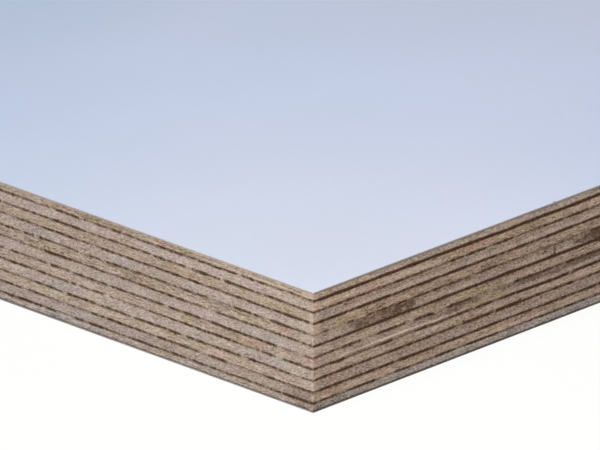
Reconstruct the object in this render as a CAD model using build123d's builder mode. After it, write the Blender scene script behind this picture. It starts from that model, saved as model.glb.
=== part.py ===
from build123d import *
import os

# Film-faced plywood sheet, lying flat.
# Millimetres. +X is the sheet's length and the direction of the face grain,
# +Y its width, +Z up. The origin is the middle of the underside.

# --- driving dimensions -----------------------------------------------------
LENGTH = 2500.0        # sheet length, along the face grain
WIDTH = 1250.0         # sheet width
THICKNESS = 15.0       # finished thickness, films included

FILM = 0.25            # thickness of each surface film

# Heights of the ten glue lines above the underside, from the top one down.
# The veneers are about 1.4 mm each and are not all alike.
GLUE_LINES = [13.905, 12.525, 11.108, 9.675, 8.295,
              6.810, 5.400, 3.945, 2.550, 1.185]

# Top and bottom of every layer, from the finish face down
FACE_FILM_TOP = THICKNESS
FACE_VENEER_TOP = THICKNESS - FILM
BACK_VENEER_BOTTOM = FILM

os.makedirs("parts", exist_ok=True)


def report(part):
    size = part.bounding_box().size
    print(f"{part.label:18s} {size.X:8.2f} x {size.Y:8.2f} x {size.Z:6.3f} mm")


# --- finish side ------------------------------------------------------------
# The smooth film that is pressed on to the finish face
with BuildPart() as face_film:
    with BuildSketch(Plane.XY.offset(FACE_VENEER_TOP)):
        Rectangle(LENGTH, WIDTH)
    extrude(amount=FACE_FILM_TOP - FACE_VENEER_TOP)

# Face veneer, grain along X
with BuildPart() as face_veneer:
    with BuildSketch(Plane.XY.offset(GLUE_LINES[0])):
        Rectangle(LENGTH, WIDTH)
    extrude(amount=FACE_VENEER_TOP - GLUE_LINES[0])

# --- inner veneers, from the finish side down -------------------------------
# The even ones are crossbands, with their grain along Y.
# The odd ones are long bands, with their grain along X.
with BuildPart() as crossband_2:
    with BuildSketch(Plane.XY.offset(GLUE_LINES[1])):
        Rectangle(LENGTH, WIDTH)
    extrude(amount=GLUE_LINES[0] - GLUE_LINES[1])

with BuildPart() as long_band_3:
    with BuildSketch(Plane.XY.offset(GLUE_LINES[2])):
        Rectangle(LENGTH, WIDTH)
    extrude(amount=GLUE_LINES[1] - GLUE_LINES[2])

with BuildPart() as crossband_4:
    with BuildSketch(Plane.XY.offset(GLUE_LINES[3])):
        Rectangle(LENGTH, WIDTH)
    extrude(amount=GLUE_LINES[2] - GLUE_LINES[3])

with BuildPart() as long_band_5:
    with BuildSketch(Plane.XY.offset(GLUE_LINES[4])):
        Rectangle(LENGTH, WIDTH)
    extrude(amount=GLUE_LINES[3] - GLUE_LINES[4])

# The middle veneer is a crossband
with BuildPart() as crossband_6:
    with BuildSketch(Plane.XY.offset(GLUE_LINES[5])):
        Rectangle(LENGTH, WIDTH)
    extrude(amount=GLUE_LINES[4] - GLUE_LINES[5])

with BuildPart() as long_band_7:
    with BuildSketch(Plane.XY.offset(GLUE_LINES[6])):
        Rectangle(LENGTH, WIDTH)
    extrude(amount=GLUE_LINES[5] - GLUE_LINES[6])

with BuildPart() as crossband_8:
    with BuildSketch(Plane.XY.offset(GLUE_LINES[7])):
        Rectangle(LENGTH, WIDTH)
    extrude(amount=GLUE_LINES[6] - GLUE_LINES[7])

with BuildPart() as long_band_9:
    with BuildSketch(Plane.XY.offset(GLUE_LINES[8])):
        Rectangle(LENGTH, WIDTH)
    extrude(amount=GLUE_LINES[7] - GLUE_LINES[8])

with BuildPart() as crossband_10:
    with BuildSketch(Plane.XY.offset(GLUE_LINES[9])):
        Rectangle(LENGTH, WIDTH)
    extrude(amount=GLUE_LINES[8] - GLUE_LINES[9])

# --- back side --------------------------------------------------------------
# Back veneer, grain along X
with BuildPart() as back_veneer:
    with BuildSketch(Plane.XY.offset(BACK_VENEER_BOTTOM)):
        Rectangle(LENGTH, WIDTH)
    extrude(amount=GLUE_LINES[9] - BACK_VENEER_BOTTOM)

# The film that is pressed on to the back
with BuildPart() as back_film:
    with BuildSketch(Plane.XY):
        Rectangle(LENGTH, WIDTH)
    extrude(amount=FILM)

# --- labels and files -------------------------------------------------------
face_film.part.label = "face_film"
export_step(face_film.part, "parts/face_film.step")

face_veneer.part.label = "face_veneer"
export_step(face_veneer.part, "parts/face_veneer.step")

crossband_2.part.label = "crossband_2"
export_step(crossband_2.part, "parts/crossband_2.step")

long_band_3.part.label = "long_band_3"
export_step(long_band_3.part, "parts/long_band_3.step")

crossband_4.part.label = "crossband_4"
export_step(crossband_4.part, "parts/crossband_4.step")

long_band_5.part.label = "long_band_5"
export_step(long_band_5.part, "parts/long_band_5.step")

crossband_6.part.label = "crossband_6"
export_step(crossband_6.part, "parts/crossband_6.step")

long_band_7.part.label = "long_band_7"
export_step(long_band_7.part, "parts/long_band_7.step")

crossband_8.part.label = "crossband_8"
export_step(crossband_8.part, "parts/crossband_8.step")

long_band_9.part.label = "long_band_9"
export_step(long_band_9.part, "parts/long_band_9.step")

crossband_10.part.label = "crossband_10"
export_step(crossband_10.part, "parts/crossband_10.step")

back_veneer.part.label = "back_veneer"
export_step(back_veneer.part, "parts/back_veneer.step")

back_film.part.label = "back_film"
export_step(back_film.part, "parts/back_film.step")

for piece in (face_film, face_veneer, crossband_2, long_band_3, crossband_4,
              long_band_5, crossband_6, long_band_7, crossband_8, long_band_9,
              crossband_10, back_veneer, back_film):
    report(piece.part)
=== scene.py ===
"""Looks of the film-faced plywood sheet: sawn veneer edges, glue lines, films."""

import math

import bpy
import numpy as np
from mathutils import Matrix, Vector


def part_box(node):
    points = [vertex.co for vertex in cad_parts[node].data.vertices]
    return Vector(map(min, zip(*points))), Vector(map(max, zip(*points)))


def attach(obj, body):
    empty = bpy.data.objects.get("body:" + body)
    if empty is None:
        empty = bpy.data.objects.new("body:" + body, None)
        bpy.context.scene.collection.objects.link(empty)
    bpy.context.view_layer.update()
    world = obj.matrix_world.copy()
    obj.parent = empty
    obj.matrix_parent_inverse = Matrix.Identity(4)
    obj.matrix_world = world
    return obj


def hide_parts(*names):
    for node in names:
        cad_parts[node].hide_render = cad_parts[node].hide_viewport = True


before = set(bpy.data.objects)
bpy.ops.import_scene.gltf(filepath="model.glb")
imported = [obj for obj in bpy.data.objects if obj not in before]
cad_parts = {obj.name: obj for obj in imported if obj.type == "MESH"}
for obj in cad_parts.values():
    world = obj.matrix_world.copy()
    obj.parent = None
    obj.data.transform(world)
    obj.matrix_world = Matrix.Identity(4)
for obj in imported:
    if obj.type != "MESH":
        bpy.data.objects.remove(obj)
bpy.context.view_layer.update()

MM = 0.001

# ---------------------------------------------------------------- the layers
# From the finish side down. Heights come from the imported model.
LAYERS = ["face_film", "face_veneer", "crossband_2", "long_band_3",
          "crossband_4", "long_band_5", "crossband_6", "long_band_7",
          "crossband_8", "long_band_9", "crossband_10", "back_veneer",
          "back_film"]
lo0, hi0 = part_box("face_film")
X0, Y0 = lo0.x, lo0.y
X1, Y1 = hi0.x, hi0.y
LENGTH, WIDTH = X1 - X0, Y1 - Y0
Z_TOP = {n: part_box(n)[1].z for n in LAYERS}
Z_BOT = {n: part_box(n)[0].z for n in LAYERS}


# ------------------------------------------------------------- seeded noise
def _hash(ix, iy, seed):
    ix = ix.astype(np.int64) & 0xFFFFFFFF
    iy = iy.astype(np.int64) & 0xFFFFFFFF
    n = (ix * 374761393 + iy * 668265263 + seed * 144665 + 1013904223) & 0xFFFFFFFF
    n = ((n ^ (n >> 13)) * 1274126177) & 0xFFFFFFFF
    n = ((n ^ (n >> 15)) * 2246822519) & 0xFFFFFFFF
    return ((n ^ (n >> 16)) & 0xFFFFFF) / float(0xFFFFFF) * 2 - 1


def noise2(x, y, seed):
    """Smooth value noise, -1 to 1, one cell per unit."""
    x, y = np.broadcast_arrays(np.asarray(x, float), np.asarray(y, float))
    ix, iy = np.floor(x), np.floor(y)
    fx, fy = x - ix, y - iy
    fx, fy = fx * fx * (3 - 2 * fx), fy * fy * (3 - 2 * fy)
    a, b = _hash(ix, iy, seed), _hash(ix + 1, iy, seed)
    c, d = _hash(ix, iy + 1, seed), _hash(ix + 1, iy + 1, seed)
    return (a * (1 - fx) + b * fx) * (1 - fy) + (c * (1 - fx) + d * fx) * fy


def noise1(x, seed):
    return noise2(x, np.zeros_like(x) + 0.37, seed)


def step(a, b, x):
    t = np.clip((x - a) / (b - a), 0, 1)
    return t * t * (3 - 2 * t)


# ---------------------------------------------------- columns round the edge
# The perimeter runs counter-clockwise seen from above, from the corner at
# -X -Y: the long side at -Y, the short side at +X, the long side at +Y, the
# short side at -X. Each side is cut into columns, finest near one corner.
CORNER_R = 0.18 * MM
FINE = 0.12 * MM
FINE_RUN = 60 * MM
SIDES = [
    # start, direction, outward normal, length
    (Vector((X0, Y0)), Vector((1, 0)), Vector((0, -1)), LENGTH),
    (Vector((X1, Y0)), Vector((0, 1)), Vector((1, 0)), WIDTH),
    (Vector((X1, Y1)), Vector((-1, 0)), Vector((0, 1)), LENGTH),
    (Vector((X0, Y1)), Vector((0, -1)), Vector((-1, 0)), WIDTH),
]


def run_of(length, fine_start, fine_end):
    """Distances along one side, with a fine end where the flag asks for it."""
    def from_end(d, fine):
        if fine:
            return FINE if d < FINE_RUN else FINE + 0.055 * (d - FINE_RUN)
        return 0.5 * MM if d < 8 * MM else 0.5 * MM + 0.055 * (d - 8 * MM)
    d, out = CORNER_R, [CORNER_R]
    while True:
        h = min(from_end(d, fine_start), from_end(length - d, fine_end), 4.5 * MM)
        if d + 1.5 * h >= length - CORNER_R:
            break
        d += h
        out.append(d)
    out.append(length - CORNER_R)
    return np.array(out)


cols = {"x": [], "y": [], "nx": [], "ny": [], "side": [], "d": [], "s": [],
        "fine": [], "par": []}
s_run = 0.0
for k, (start, way, out, length) in enumerate(SIDES):
    ds = run_of(length, k == 1, k == 0)
    for d in ds:
        p = start + way * d
        near = (length - d) if k == 0 else d
        cols["x"].append(p.x); cols["y"].append(p.y)
        cols["nx"].append(out.x); cols["ny"].append(out.y)
        cols["side"].append(k)
        cols["d"].append(near if k in (0, 1) else d)
        cols["s"].append(s_run + d)
        cols["fine"].append(k in (0, 1) and near < FINE_RUN + 0.25 * MM)
        cols["par"].append(k + d / length)
    # the rounded corner at the end of this side
    nxt = SIDES[(k + 1) % 4]
    centre = start + way * (length - CORNER_R) - out * CORNER_R
    for a in (22.5, 45.0, 67.5):
        a = math.radians(a)
        n = out * math.cos(a) + way * math.sin(a)
        p = centre + n * CORNER_R
        side = k if a < 0.8 else (k + 1) % 4
        cols["x"].append(p.x); cols["y"].append(p.y)
        cols["nx"].append(n.x); cols["ny"].append(n.y)
        cols["side"].append(side)
        cols["d"].append(CORNER_R * abs(1 - a / (math.pi / 4)) if k == 0 else 0.0)
        cols["s"].append(s_run + length - CORNER_R + CORNER_R * a * 2 / math.pi)
        cols["fine"].append(k == 0)
        cols["par"].append(k + 1 - CORNER_R / length * (1 - a * 2 / math.pi))
    s_run += length
for key in cols:
    cols[key] = np.array(cols[key])
NC = len(cols["x"])
S = cols["s"]
SIDE = cols["side"]
DIST = cols["d"]
FINE_COL = cols["fine"].astype(bool)
ON0, ON1 = (SIDE == 0), (SIDE == 1)
LONG = (SIDE == 0) | (SIDE == 2)


# --------------------------------------------------------------- glue lines
# Line k lies between veneer k and veneer k + 1, counted from the finish side.
# The places are millimetres from the corner at +X -Y. "a" is the long side at
# -Y, "b" the short side at +X. Each stretch is: from, to, and how much thinner
# (below 0, down to bare wood) or heavier (above 0) the glue is there.
STRETCHES = {
    ("a", 1): [(45.0, 45.4, -.5), (43.3, 45.0, -.35), (42.3, 43.1, -.85), (37.5, 38.1, -.7),
               (35.7, 37.2, -.5), (30.9, 31.3, -.8), (28.7, 29.2, -.4), (22.4, 24.2, .35),
               (20.3, 21.3, -.35), (18.6, 19.0, -.4), (15.9, 17.6, .35), (11.7, 12.3, -.7),
               (9.2, 9.6, -.6), (6.9, 7.5, -.5), (3.9, 4.9, -.45), (1.2, 3.0, -.15), (0.0, 1.2, .2),
               (49.0, 50.5, .3), (40.0, 42.0, .2), (38.2, 39.5, .45), (34.0, 35.6, .3),
               (31.4, 32.7, .6), (27.5, 28.6, .3), (24.2, 25.2, .4), (21.4, 22.7, .45),
               (17.2, 18.5, .35), (15.0, 15.8, .3), (12.5, 14.6, .3), (9.7, 11.4, .45),
               (7.6, 8.9, .4), (3.1, 3.8, .3)],
    ("a", 2): [(46.0, 46.6, -.2), (39.9, 40.1, -.3), (26.1, 26.5, -.5), (23.6, 24.0, -.4),
               (19.8, 20.5, -.75), (16.6, 17.0, -.3), (14.5, 15.1, -.85), (8.1, 8.45, -.6),
               (40.1, 43.2, .6), (37.5, 39.6, .6), (32.0, 33.4, .45), (43.4, 44.5, .25),
               (17.0, 19.5, .4), (12.0, 14.3, .55), (20.8, 22.0, .2), (5.5, 8.0, .3),
               (0.0, 2.2, .3), (24.2, 25.0, .35)],
    ("a", 3): [(49.0, 50.5, -.5), (44.3, 45.1, -.6), (45.2, 46.0, -.3), (37.7, 38.1, -.4),
               (36.2, 36.7, -.4), (31.0, 33.0, .25), (17.1, 17.9, -.5), (0.0, 0.7, -.4),
               (42.9, 44.2, .3), (40.8, 42.8, .55), (38.3, 40.0, .35), (33.0, 34.4, .25), (34.7, 36.2, -.45),
               (21.5, 23.0, .5), (18.0, 19.6, .5), (3.0, 5.9, .5), (25.0, 26.0, .3),
               (1.0, 3.0, .2)],
    ("a", 4): [(0.0, 1.2, -.35), (47.3, 47.9, -.3), (46.3, 46.7, -.3), (44.9, 45.7, -.9), (41.0, 41.6, -.3),
               (37.0, 38.3, -.8), (33.9, 34.6, -.7), (36.4, 36.9, -.4), (19.0, 19.8, -.6),
               (15.4, 17.2, -.5), (12.9, 13.4, -.9), (9.6, 10.1, -.4), (7.1, 8.1, -.9),
               (49.2, 50.5, .4), (46.8, 47.2, .6), (43.0, 44.8, .5), (39.7, 40.4, .5),
               (38.4, 39.6, .3), (32.0, 32.8, .7), (23.6, 25.0, .3), (20.1, 21.0, .4),
               (13.6, 15.9, -.6), (10.2, 12.8, .5), (8.2, 9.5, .3), (4.5, 6.9, .5)],
    ("a", 5): [(48.0, 50.5, -.35), (46.5, 47.2, -.6), (44.2, 46.2, -.35), (31.2, 33.9, -.25),
               (37.3, 37.7, -.4), (15.9, 17.4, -.8), (17.4, 20.3, -.3), (1.8, 2.3, -.5),
               (43.0, 44.1, .3), (40.0, 43.2, .75), (38.4, 40.0, .5), (34.0, 37.0, .3),
               (26.0, 28.4, .55), (22.5, 24.8, .5), (20.8, 22.4, .3), (5.4, 7.0, .3),
               (3.0, 5.2, .3)],
    ("a", 6): [(49.6, 50.6, -.85), (47.9, 48.2, -.3), (45.0, 45.3, -.3), (42.9, 43.7, -.85),
               (39.2, 39.8, -.7), (37.1, 37.5, -.3), (32.9, 33.5, -.7), (26.8, 27.1, -.5),
               (23.6, 24.2, -.9), (17.1, 18.3, -.55), (5.1, 5.9, -.9), (1.6, 3.6, -.6),
               (3.6, 5.0, -.3), (48.2, 49.5, .5), (46.4, 47.8, .3), (41.6, 42.8, .7),
               (37.6, 39.0, .3), (31.2, 32.8, .35), (28.0, 31.0, .3), (24.9, 26.7, .4),
               (18.5, 23.4, .5), (13.9, 16.8, .6), (10.0, 13.9, .5), (6.0, 9.0, .45)],
    ("a", 7): [(0.0, 0.7, .6), (45.2, 46.0, -.3), (39.5, 39.9, -.7), (38.1, 38.6, -.85), (33.1, 34.1, -.85),
               (36.0, 36.4, -.4), (21.6, 22.0, -.4), (16.4, 19.0, .3), (8.4, 8.8, -.8),
               (5.0, 6.0, -.85), (11.8, 12.2, -.3), (9.2, 11.6, -.5), (46.2, 50.0, .4),
               (43.8, 45.0, .45), (38.8, 39.3, .4), (34.4, 35.9, .2), (26.6, 32.8, -.45),
               (19.0, 21.4, .35), (13.6, 16.4, .6), (6.1, 7.6, .3), (3.1, 5.0, .25)],
    ("a", 8): [ (40.2, 40.9, -.85), (29.1, 29.7, -.85), (23.5, 23.9, -.4),
               (20.7, 21.4, -.8), (17.0, 17.4, -.35), (10.8, 11.7, -.9), (0.0, 1.0, -.2),
               (44.3, 45.2, .3), (45.4, 47.8, -.4), (41.0, 43.0, .25), (38.0, 40.1, .6), (35.9, 37.8, .2),
               (26.0, 29.0, .35), (24.0, 25.0, .3), (21.6, 23.4, .4), (17.6, 20.5, .35),
               (11.8, 14.2, .3), (6.0, 10.6, .4), (1.8, 3.6, -.5)],
    ("a", 9): [(0.0, 1.4, .7), (46.7, 47.8, -.7), (43.4, 44.0, -.3), (41.0, 43.4, -.35), (38.1, 38.9, -.65),
               (36.3, 38.1, -.4), (33.6, 34.0, -.3), (19.8, 20.2, -.3), (17.0, 18.4, -.6),
               (11.9, 13.9, -.5), (8.2, 11.9, -.4), (49.4, 50.5, .4), (44.3, 46.6, .3),
               (39.2, 41.4, -.4), (34.2, 36.2, .3), (31.0, 33.4, .8), (29.4, 31.0, .3),
               (22.0, 24.8, .6), (20.2, 22.0, .3), (18.5, 19.7, .3), (14.0, 16.9, .75),
               (6.2, 7.8, .25), (2.0, 4.0, .15)],
    ("a", 10): [(43.6, 44.0, -.3), (38.9, 42.0, -.5), (36.7, 37.4, -.4), (30.0, 33.2, -.2),
                (23.1, 23.5, -.3), (20.4, 20.8, -.5), (14.3, 15.0, -.4), (9.6, 10.0, -.3),
                (7.5, 7.9, -.3), (49.0, 49.9, .3), (46.0, 49.0, .5), (44.2, 45.8, .3),
                (42.2, 43.5, .5), (34.4, 36.6, .8), (33.3, 34.4, .3), (26.9, 28.6, .85),
                (25.0, 26.8, .35), (20.8, 23.0, .3), (17.6, 18.4, .3), (8.0, 9.5, .3),
                (4.5, 7.4, .2), (0.0, 4.6, .9)],
    ("b", 1): [(3.0, 6.0, .15), (11.0, 14.3, .35), (15.0, 19.2, .45), (19.5, 29.0, .25),
               (29.0, 34.2, .6), (34.2, 43.0, .4), (43.5, 46.5, .6), (46.5, 55.0, .4)],
    ("b", 2): [(13.8, 15.4, .45), (7.5, 8.5, .2), (26.0, 28.8, .45), (24.0, 25.2, .2),
               (30.6, 32.9, .3), (43.3, 46.2, .4), (20.0, 22.6, -.3), (25.3, 25.9, -.4),
               (29.2, 30.4, -.45), (34.0, 37.8, -.35), (38.6, 39.0, -.3), (10.0, 11.0, -.2),
               (16.0, 18.0, -.2), (47.0, 49.0, -.3)],
    ("b", 3): [(3.0, 4.6, .35), (8.0, 12.6, .5), (15.0, 18.0, .2), (24.0, 26.6, .35),
               (27.6, 31.0, .2), (34.6, 36.2, .5), (41.0, 44.2, .4), (5.0, 6.4, .25),
               (13.2, 13.8, -.3), (32.5, 33.4, -.25), (37.2, 38.0, -.25), (45.0, 46.0, -.2)],
    ("b", 4): [(0.0, 1.7, -.6), (9.2, 12.4, .35), (13.7, 15.4, .6), (16.4, 19.2, .25),
               (20.5, 22.0, .2), (23.2, 24.5, .45), (29.3, 31.8, .6), (47.4, 50.0, .5),
               (37.8, 41.6, -.25), (2.6, 5.6, -.8), (6.9, 8.9, -.75), (25.9, 26.9, -.4),
               (32.1, 33.6, -.45), (35.0, 36.8, -.4),  
               (44.4, 47.2, -.6), (19.0, 20.3, .2)],
    ("b", 5): [(1.2, 3.0, -.15), (6.5, 9.5, .25), (9.5, 16.5, .5), (20.5, 24.0, .15),
               (26.0, 30.0, .25), (32.0, 34.4, .4), (36.0, 41.5, .35), (45.0, 48.0, .3),
               (4.0, 6.0, -.15), (17.5, 19.0, -.15)],
    ("b", 6): [(5.0, 7.2, .25), (11.0, 15.3, .6), (17.2, 20.0, .6), (22.6, 26.4, .35),
               (34.2, 37.2, .85), (37.2, 42.0, .25), (43.2, 48.0, .5), (0.3, 1.6, .45),
               (8.0, 10.8, -.5), (15.6, 17.0, -.9), (20.6, 22.4, -.7), (27.2, 34.0, -.75),
               (42.1, 42.9, -.4), (4.0, 4.8, -.3)],
    ("b", 7): [(3.6, 5.3, .6), (11.4, 13.0, .45), (19.8, 21.6, -.25), (23.0, 26.0, .35),
               (28.2, 29.8, .4), (31.8, 37.4, .4), (35.0, 43.6, .6), (44.4, 48.0, .25),
               (17.6, 19.6, .2), (5.6, 7.9, -.45), (8.0, 10.4, -.4), (13.6, 17.0, -.5),
               (22.0, 22.8, -.3), (26.6, 27.6, -.3), (43.6, 44.2, -.4), (30.4, 31.4, -.3)],
    ("b", 8): [(5.3, 6.6, .4), (13.0, 14.6, .25), (26.0, 30.4, .35), (31.2, 35.0, 1.5),
               (35.2, 37.4, .2), (42.2, 44.0, .25), (17.5, 20.5, .2), (1.0, 3.4, .45),
               (7.0, 8.2, -.3), (24.0, 25.4, -.6), (30.6, 31.0, -.75), (37.6, 42.0, .1),
               (44.4, 47.0, -.4), (22.0, 23.0, -.2)],
    ("b", 9): [(0.0, 1.1, -.35), (1.3, 4.6, .3), (7.0, 9.2, .15), (10.8, 13.4, .35), (14.6, 19.0, .6),
               (21.8, 25.0, .35), (28.0, 31.4, .35), (33.0, 36.0, .15), (39.8, 43.4, .3),
               (4.6, 6.4, .25), (13.6, 14.4, -.3), (19.6, 21.2, -.2), (26.0, 27.4, -.15),
               (37.0, 38.6, -.2), (44.5, 45.6, -.2)],
    ("b", 10): [(0.0, 0.7, .45), (6.4, 10.2, .6), (14.4, 15.9, .3), (21.2, 23.6, .45), (26.0, 31.2, .35),
                (33.0, 38.3, -.25), (38.4, 41.6, .2), (43.0, 46.0, .2), (4.6, 6.2, -.25),
                (10.6, 13.8, -.5), (16.4, 17.6, -.35), (18.6, 20.6, -.35), (24.2, 25.8, -.2),
                (31.6, 32.8, -.45),  (41.9, 42.8, -.35), (46.5, 48.0, -.3)],
}
# how far each line wanders from its level, in mm: place, reach, rise
BENDS = {
    6: [("a", 49.0, 4.0, 0.05), ("a", 25.5, 5.0, 0.04), ("b", 20.9, 0.7, -0.30), ("b", 12.0, 5.0, 0.05), ("b", 25.0, 1.5, 0.06)],
    7: [("b", 4.5, 0.9, -0.09), ("b", 12.2, 0.8, -0.07), ("b", 20.8, 0.9, -0.06),
        ("b", 41.0, 2.8, -0.14), ("b", 37.0, 2.0, -0.05)],
    8: [("b", 33.1, 1.8, 0.05), ("b", 39.0, 2.2, 0.05)],
    9: [("b", 44.0, 6.0, -0.06)],
    2: [("b", 14.0, 8.0, -0.03), ("a", 12.0, 5.0, 0.03), ("a", 29.0, 9.0, 0.045)],
    4: [("b", 9.0, 3.0, 0.04), ("b", 31.0, 1.6, 0.05), ("b", 42.0, 4.0, -0.05),
        ("a", 41.0, 4.0, 0.06), ("a", 27.0, 3.5, 0.045)],
    1: [("b", 34.0, 14.0, -0.085), ("b", 32.6, 2.4, -0.065), ("b", 45.0, 3.0, -0.05)],
    5: [("b", 33.0, 1.2, 0.05), ("b", 40.0, 8.0, -0.03)],
}


# the short side at +X. line: how much heavier, how far shifted, how much
# thicker to each side (mm)
SHORT_SIDE = {1: (0.44, -0.038, 0.002), 2: (0.02, -0.043, 0.014), 3: (0.22, -0.066, 0.018),
              4: (-0.10, -0.019, 0.010), 5: (0.36, -0.076, 0.004), 6: (-0.06, 0.011, 0.024),
              7: (0.10, 0.003, 0.020), 8: (0.10, 0.074, 0.012), 9: (0.20, -0.031, 0.010),
              10: (0.03, 0.008, 0.004)}
# the long side at -Y. line: how far shifted (mm)
LONG_SIDE = {1: -0.006, 2: -0.021, 3: -0.008, 4: -0.035, 5: -0.035, 6: -0.069,
             7: -0.010, 8: -0.069, 9: -0.045, 10: -0.059}


def on_side(which):
    return ON0 if which == "a" else ON1


def line_facts(k):
    """For glue line k at every column: rise, half thickness and darkness."""
    s = S / MM
    wide = np.where(LONG, 1.0, 0.55)
    rise = (0.035 * noise1(s / 2.1, 11 + k) + 0.022 * noise1(s / 0.8, 41 + k)) * wide
    rise += 0.030 * noise1(s / 14.0, 71 + k) + 0.012 * noise1(s / 0.35, 91 + k) * wide
    for w, at, reach, up in BENDS.get(k, []):
        near = on_side(w) & (np.abs(DIST / MM - at) < 3 * reach)
        rise = rise + near * up * np.exp(-((DIST / MM - at) / reach) ** 2)
    half = 0.104 + 0.018 * noise1(s / 1.7, 111 + k) + 0.030 * noise1(s / 0.5, 141 + k)
    half += 0.010 * noise1(s / 9.0, 171 + k)
    dark = 0.90 + 0.07 * noise1(s / 2.6, 201 + k) + 0.10 * noise1(s / 0.9, 231 + k)
    dark += 0.42 * noise1(s / 0.34, 321 + k)
    # some lines are heavier than others along the short side at +X
    more, lift, thicker = SHORT_SIDE[k]
    dark = dark + ON1 * (0.06 + more)
    half = half + ON1 * (more * 0.09 + thicker - 0.010)
    # the shifts of the two sides meet halfway at the corner
    meet = (lift + LONG_SIDE[k]) / 2
    off = 1 - step(0, 2.0 * MM, DIST)
    rise = rise + ON1 * (lift + (meet - lift) * off)
    rise = rise + ON0 * (LONG_SIDE[k] + (meet - LONG_SIDE[k]) * off)
    # breaks in the glue away from the corner, as often as near it
    breaks = step(0.62, 0.80, noise1(s / 2.3, 261 + k) + 0.25 * noise1(s / 11.0, 291 + k))
    away = ~((ON0 | ON1) & (DIST < 53 * MM))
    dark = dark - away * breaks * np.where(LONG, 0.9, 0.35)
    d = DIST / MM
    for w in ("a", "b"):
        for a, b, much in STRETCHES[w, k]:
            soft = min(0.22 if much < 0 else 0.5, (b - a) / 3)
            hit = on_side(w) * step(a - soft, a + soft, d) * (1 - step(b - soft, b + soft, d))
            if much < 0:
                dark = dark * (1 + hit * much)
                half = half + hit * much * 0.018
            else:
                dark = dark + hit * much * 0.42
                half = half + hit * much * 0.038
    half = np.clip(half, 0.055, 0.20)
    return rise * MM, half * MM, np.clip(dark, 0.0, 1.4)


FACTS = {k: line_facts(k) for k in range(1, 11)}
# no glue: the first rows still stand apart, or their faces would have no area
FLAT = (np.zeros(NC), np.full(NC, 0.06 * MM), np.zeros(NC))


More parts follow.
